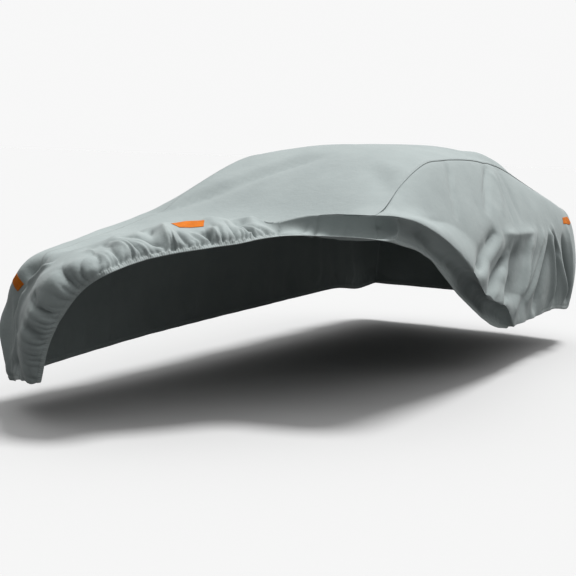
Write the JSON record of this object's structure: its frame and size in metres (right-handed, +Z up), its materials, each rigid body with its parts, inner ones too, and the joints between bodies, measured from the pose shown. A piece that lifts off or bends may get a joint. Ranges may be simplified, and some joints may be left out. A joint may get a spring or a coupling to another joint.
{
  "type": "car cover",
  "caption": "Fitted fabric cover for a full-size car as it hangs in use, the elastic hem of its near front corner drawn back and up, with reflective patches.",
  "frame": {"origin": "underside of the cloth at the crown, on the centre line", "axes": "+Z up, +Y from the nose of the cover to its tail, +X to the side whose front corner is drawn back"},
  "size_m": [2.0557, 5.1575, 1.3918],
  "materials": {
    "grey_cloth": "matte light grey cover cloth with a faint fine weave",
    "orange_reflector": "orange reflective sheeting"
  },
  "bodies": {
    "root": {"top_panel": "grey_cloth", "near_side_panel": "grey_cloth", "far_side_panel": "grey_cloth", "hood_patch": "orange_reflector", "nose_patch": "orange_reflector", "tail_patch": "orange_reflector"}
  },
  "joints": []
}
